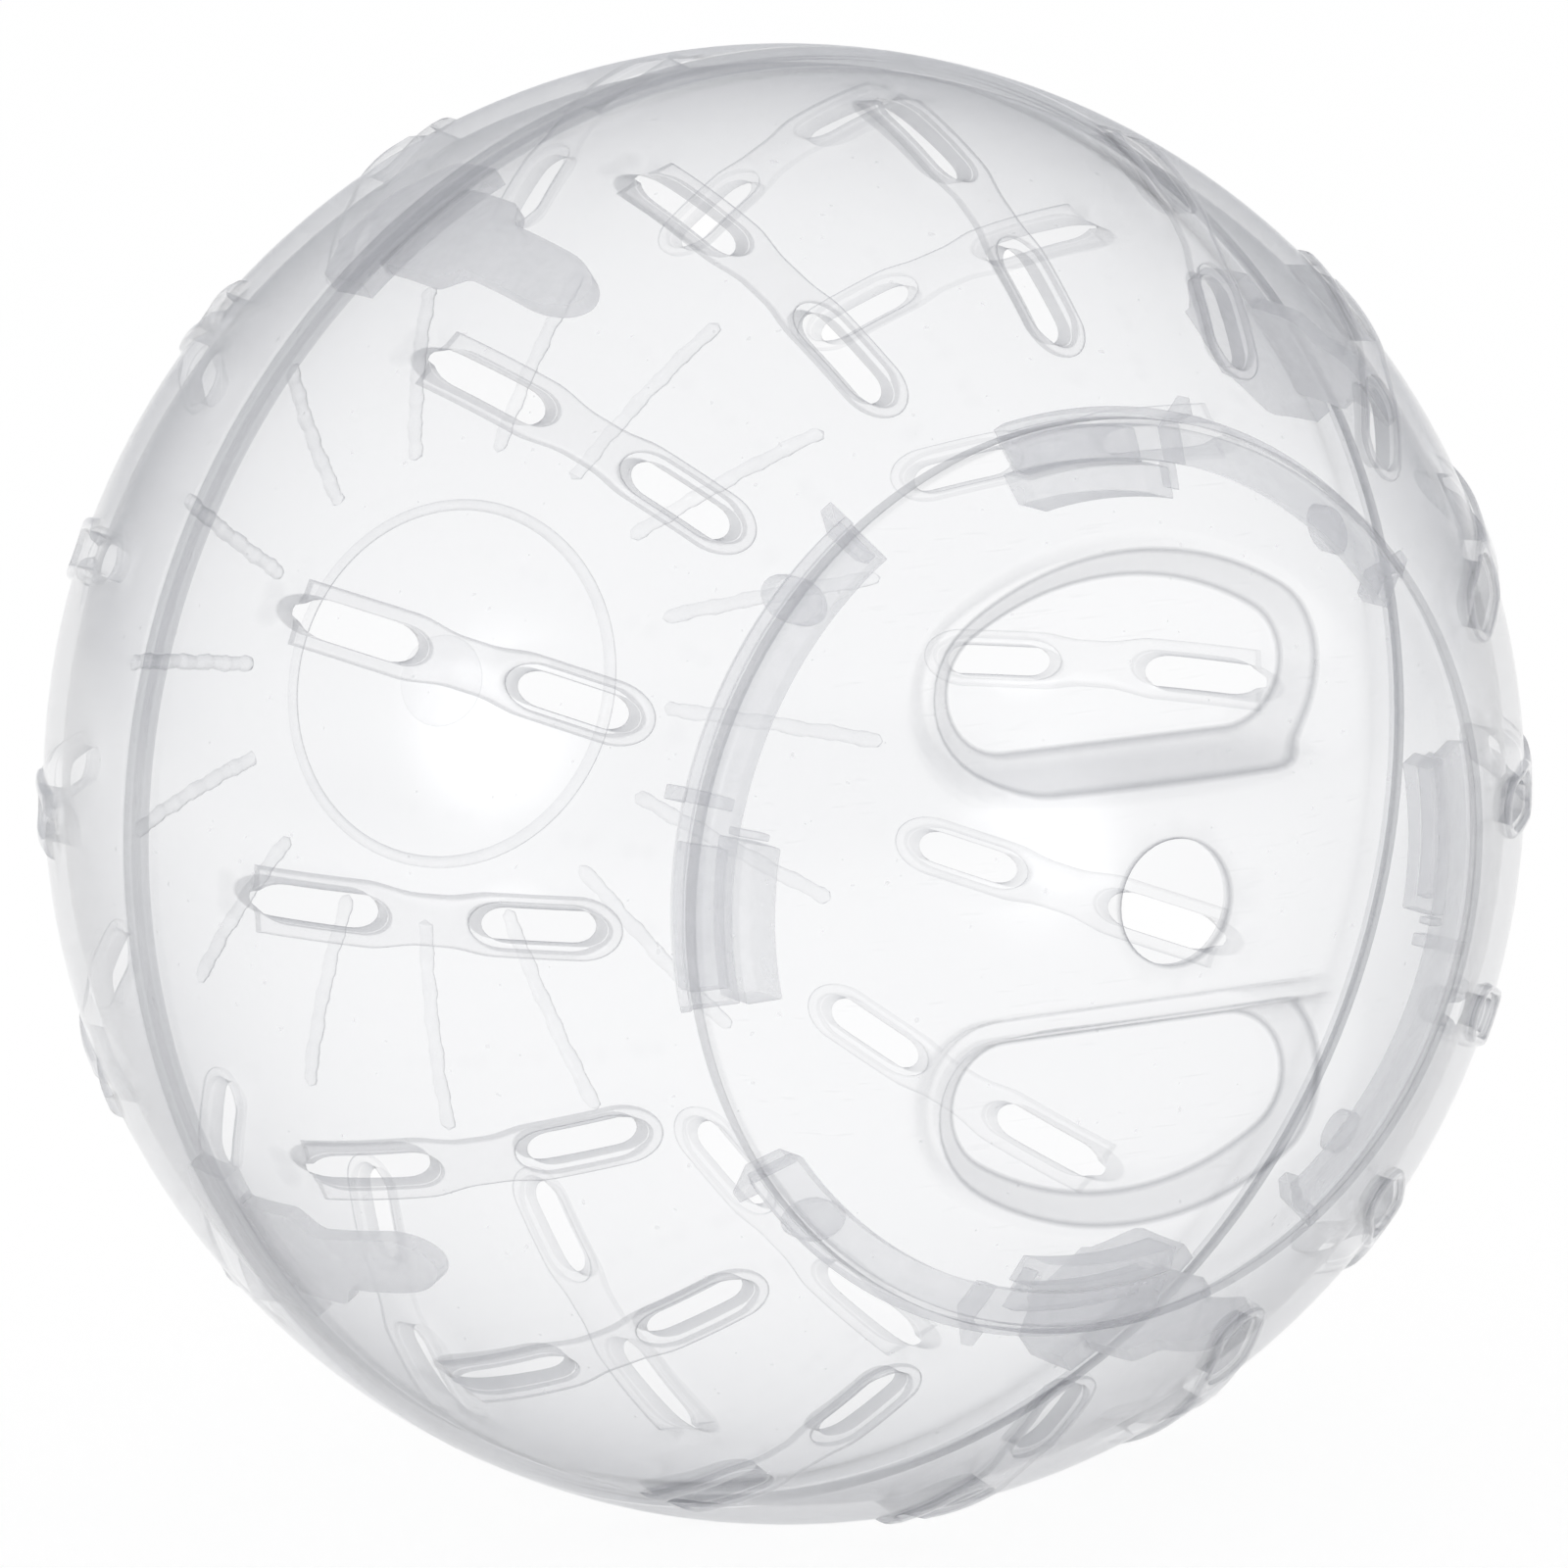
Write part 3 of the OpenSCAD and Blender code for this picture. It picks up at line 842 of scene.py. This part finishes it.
# Lamp at the left, in metres and watts
KEY_PLACE = (-1.0, -0.25, 0.3)
KEY_SIZE = 0.5
KEY_POWER = 1.2


def make_camera():
    data = bpy.data.cameras.new("camera")
    data.sensor_width = SENSOR_MM
    data.lens = FOCAL_PX / FRAME_PX * SENSOR_MM
    data.clip_start, data.clip_end = 0.05, 20
    camera = bpy.data.objects.new("camera", data)
    back = CAMERA_BACK.normalized()
    right = CAMERA_UP.cross(back).normalized()
    up = back.cross(right)
    turn = Matrix((right, up, back)).transposed()
    camera.matrix_world = Matrix.Translation(back * CAMERA_DISTANCE) @ turn.to_4x4()
    scene.collection.objects.link(camera)
    scene.camera = camera


class Nodes:
    """Short calls that build a node tree; a value is a number, a colour, a socket or a node."""

    def __init__(self, tree):
        self.tree = tree
        tree.nodes.clear()

    def add(self, kind, **sockets):
        node = self.tree.nodes.new(kind)
        for name, value in sockets.items():
            self.put(node.inputs[name.replace("_", " ")], value)
        return node

    def put(self, socket, value):
        if isinstance(value, bpy.types.Node):
            value = value.outputs[0]
        if isinstance(value, bpy.types.NodeSocket):
            self.tree.links.new(value, socket)
        else:
            socket.default_value = value

    def math(self, operation, a, b=0.0, clamp=False):
        node = self.tree.nodes.new("ShaderNodeMath")
        node.operation = operation
        node.use_clamp = clamp
        self.put(node.inputs[0], a)
        self.put(node.inputs[1], b)
        return node.outputs[0]

    def ramp(self, value, low, high, first=0.0, second=1.0):
        """The value carried from one range to another, and held at its ends."""
        node = self.add("ShaderNodeMapRange", Value=value, From_Min=low, From_Max=high,
                        To_Min=first, To_Max=second)
        return node.outputs[0]

    def mix(self, share, first, second):
        node = self.tree.nodes.new("ShaderNodeMixShader")
        for socket, value in zip(node.inputs, (share, first, second)):
            self.put(socket, value)
        return node

    def colour(self, share, first, second):
        node = self.tree.nodes.new("ShaderNodeMix")
        node.data_type = "RGBA"
        colour_sockets = [socket for socket in node.inputs if socket.type == "RGBA"]
        for socket, value in zip((node.inputs[0], *colour_sockets), (share, first, second)):
            self.put(socket, value)
        return next(socket for socket in node.outputs if socket.type == "RGBA")

    def noise(self, scale, detail, stretch=(1, 1, 1)):
        place = self.add("ShaderNodeTexCoord").outputs["Object"]
        spread = self.add("ShaderNodeMapping", Vector=place, Scale=stretch)
        return self.add("ShaderNodeTexNoise", Vector=spread, Scale=scale, Detail=detail).outputs[0]


def new_material(name):
    material = bpy.data.materials.new(name)
    material.use_nodes = True
    return material, Nodes(material.node_tree)


def distance_from_centre(nodes):
    place = nodes.add("ShaderNodeTexCoord").outputs["Object"]
    length = nodes.tree.nodes.new("ShaderNodeVectorMath")
    length.operation = "LENGTH"
    nodes.tree.links.new(place, length.inputs[0])
    return length.outputs["Value"]


def moulded(name, milk_of, dark_of, rough, milk_colour, edge_shade_share):
    """Clear moulded plastic: light passes straight, edges are dark with painted shade and shiny, and frosted
    places milky.

    milk_of gives the share of milk over the surface, and dark_of, where there is one, its places of painted
    shade.
    """
    material, nodes = new_material(name)
    # Facing is 0 where the surface faces the eye and 1 where it is seen edge on
    facing = nodes.add("ShaderNodeLayerWeight", Blend=0.5).outputs["Facing"]
    # Painted shade: the plastic darkens where it is seen edge on, standing in for its longer path there and
    # the light it bends away
    edge = nodes.math("MULTIPLY", nodes.math("POWER", facing, 2.5), edge_shade_share)
    if dark_of:
        edge = nodes.math("ADD", edge, dark_of(nodes), clamp=True)
    tint_and_edge_shade = nodes.colour(edge, CLEAR, EDGE_SHADE)
    body = nodes.mix(0.5, nodes.add("ShaderNodeBsdfDiffuse", Color=milk_colour),
                     nodes.add("ShaderNodeBsdfTranslucent", Color=milk_colour))
    inside = nodes.mix(milk_of(nodes), nodes.add("ShaderNodeBsdfTransparent", Color=tint_and_edge_shade), body)
    gloss = nodes.add("ShaderNodeBsdfGlossy", Color=WHITE, Roughness=rough)
    grazing = nodes.math("POWER", facing, 5.0)
    mirror = nodes.math("ADD", nodes.math("MULTIPLY", grazing, 1 - STRAIGHT_MIRROR), STRAIGHT_MIRROR)
    out = nodes.add("ShaderNodeOutputMaterial")
    nodes.put(out.inputs["Surface"], nodes.mix(mirror, inside, gloss))
    return material


def specks(nodes):
    """Sparse dots of dust."""
    return nodes.ramp(nodes.noise(1300, 0), 0.87, 0.88, 0, 0.3)


def pad_shade_and_dust(share):
    """Pads greyed with milk as painted shade for the light that they bend away, on a nearly clear wall, and
    a few specks of dust.
    """
    def milk(nodes):
        raised = nodes.ramp(distance_from_centre(nodes), (BALL + 0.1) * MM, (BALL + 0.4) * MM, 0.008, share)
        return nodes.math("ADD", raised, specks(nodes))
    return milk


def pad_side_shade(share):
    """Painted shade on the sides of pads and slots, where the plastic bends light away."""
    def dark(nodes):
        radius = nodes.math("DIVIDE", distance_from_centre(nodes), MM)
        off = nodes.ramp(nodes.math("ABSOLUTE", nodes.math("SUBTRACT", radius, BALL)), 0.02, 0.1)
        low = nodes.ramp(radius, INNER + 0.02, INNER + 0.1)
        high = nodes.ramp(radius, BALL + 0.9 * PAD_H, BALL + 0.75 * PAD_H)
        return nodes.math("MULTIPLY", nodes.math("MULTIPLY", off, low), nodes.math("MULTIPLY", high, share))
    return dark


def painted(nodes, name, share):
    """A value that the mesh carries from point to point."""
    node = nodes.tree.nodes.new("ShaderNodeAttribute")
    node.attribute_name = name
    return nodes.math("MULTIPLY", node.outputs["Fac"], share)


def door_scratches_dust_and_band_shade(nodes):
    """Grey bands of painted shade round the recess floors, fine scratches, and a few specks of dust."""
    scratches = nodes.ramp(nodes.noise(700, 1, (0.2, 1, 3)), 0.68, 0.8, 0.01, 0.08)
    return nodes.math("ADD", nodes.math("ADD", scratches, painted(nodes, "band", 0.13)), specks(nodes))


def door_painted_shade(nodes):
    """Painted shade where the door's plastic bends light away: round the recess floors and the hole."""
    return nodes.math("ADD", painted(nodes, "band", 0.12), painted(nodes, "line", 0.8))


def frosted(low, high):
    """Milk for a rubbed surface, uneven as the mould left it."""
    return lambda nodes: nodes.ramp(nodes.noise(400, 2), 0.35, 0.65, low, high)


def make_world():
    """White around the object, and a dimmer studio in its reflections."""
    world = bpy.data.worlds.new("studio")
    world.use_nodes = True
    nodes = Nodes(world.node_tree)
    path = nodes.add("ShaderNodeLightPath")
    colour = nodes.colour(path.outputs["Is Glossy Ray"], WHITE, ROOM)
    out = nodes.add("ShaderNodeOutputWorld")
    nodes.put(out.inputs["Surface"], nodes.add("ShaderNodeBackground", Color=colour, Strength=1.0))
    world.cycles.sampling_method = "NONE"
    scene.world = world


def round_lamp(name, place, size, power):
    """A round lamp that faces the ball."""
    data = bpy.data.lights.new(name, "AREA")
    data.shape = "DISK"
    data.size = size
    data.energy = power
    light = bpy.data.objects.new(name, data)
    light.location = place
    light.rotation_euler = (-Vector(place)).to_track_quat("-Z", "Y").to_euler()
    scene.collection.objects.link(light)


def make_floor():
    """White paper that shows the ball's soft shadow, a little under the ball."""
    material, nodes = new_material("floor")
    grain = nodes.ramp(nodes.noise(40, 3), 0, 1)
    colour = nodes.colour(grain, (0.97, 0.97, 0.975, 1), (0.99, 0.99, 0.99, 1))
    out = nodes.add("ShaderNodeOutputMaterial")
    camera_ray = nodes.add("ShaderNodeLightPath").outputs["Is Camera Ray"]
    seen = nodes.math("MULTIPLY", camera_ray, PAPER_WHITE)
    paper = nodes.add("ShaderNodeBsdfDiffuse", Color=colour)
    white = nodes.add("ShaderNodeEmission", Color=WHITE, Strength=1.0)
    nodes.put(out.inputs["Surface"], nodes.mix(seen, paper, white))
    mesh = bpy.data.meshes.new("floor")
    half = PAPER_HALF
    low = cad_low[2] - PAPER_GAP
    mesh.from_pydata([(-half, -half, low), (half, -half, low), (half, half, low), (-half, half, low)], [],
                     [(0, 1, 2, 3)])
    mesh.materials.append(material)
    floor = bpy.data.objects.new("floor", mesh)
    scene.collection.objects.link(floor)


def dress(node, pieces):
    """The pieces stand for a node and ride on its body."""
    for piece in pieces:
        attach(piece, node)
        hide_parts(node)


def clear(piece):
    """Light from the lamps passes a clear piece."""
    piece.visible_shadow = False
    return piece


def make_front():
    shell, rests = Body(1), Body(1)
    front_shell(shell)
    seat(rests)
    dress("front_half", [clear(shell.piece("front_shell", FRONT)),
                                          soften(rests, "door_seat", FROSTED, 0.15)])


def make_rear():
    shell, fingers, pattern = Body(-1), Body(1), Body(-1)
    rear_shell(shell)
    tongues(fingers)
    beads(pattern)
    dress("rear_half", [clear(shell.piece("rear_shell", REAR)),
                                         soften(fingers, "seam_tongues", TONGUE, 0.3),
                                         clear(pattern.piece("pole_beads", BEAD))])


def mark_door(piece):
    """The mesh carries where shade is painted: the band round each recess's floor, and the lines along it
    and round the hole.
    """
    bands, lines = [], []
    for vertex in piece.data.vertices:
        x, up, y = vertex.co.x / MM, -vertex.co.y / MM, vertex.co.z / MM
        gap = recess_gap(x, abs(y), 0, 0)
        from_line = min(abs(gap), abs(gap - BAND_W), abs(math.hypot(x, y) - HOLE_R))
        outside = up > door_height(x, y, 0) - DOOR_WALL / 2
        bands.append(min(from_line / LINE_W, 1) if outside and 0 < gap < BAND_W else 0)
        lines.append(max(1 - from_line / LINE_W, 0) if outside else 0)
    for name, values in (("band", bands), ("line", lines)):
        piece.data.attributes.new(name, "FLOAT", "POINT").data.foreach_set("value", values)
    return piece


def make_door():
    shell, under = Body(1), Body(1)
    door_shell(shell)
    tabs(under, DOOR_R - DOOR_WALL)
    dress("door", [clear(mark_door(shell.piece("door_shell", DOOR))),
                                   soften(under, "door_tabs", FROSTED, 0.2)])


make_camera()
make_world()
make_floor()
round_lamp("key", KEY_PLACE, KEY_SIZE, KEY_POWER)

# The pads' painted shade is stronger on the front half than on the rear
FRONT = moulded("clear_front", pad_shade_and_dust(0.22), pad_side_shade(0.46), 0.2, MILK, 0.42)
REAR = moulded("clear_rear", pad_shade_and_dust(0.08), pad_side_shade(0.14), 0.2, MILK, 0.42)
DOOR = moulded("clear_door", door_scratches_dust_and_band_shade, door_painted_shade, 0.2, MILK, 0.42)
FROSTED = moulded("frosted", frosted(0.16, 0.22), None, 0.3, FROST_MILK, 0.6)
TONGUE = moulded("frosted_tongue", frosted(0.26, 0.36), None, 0.3, TONGUE_MILK, 0.35)
BEAD = moulded("bead", frosted(0.05, 0.1), None, 0.15, BEAD_MILK, 1.0)

make_front()
make_rear()
make_door()

scene.cycles.max_bounces = 4
scene.cycles.diffuse_bounces = 2
scene.cycles.glossy_bounces = 2
scene.cycles.transparent_max_bounces = 48
scene.view_settings.view_transform = "Standard"
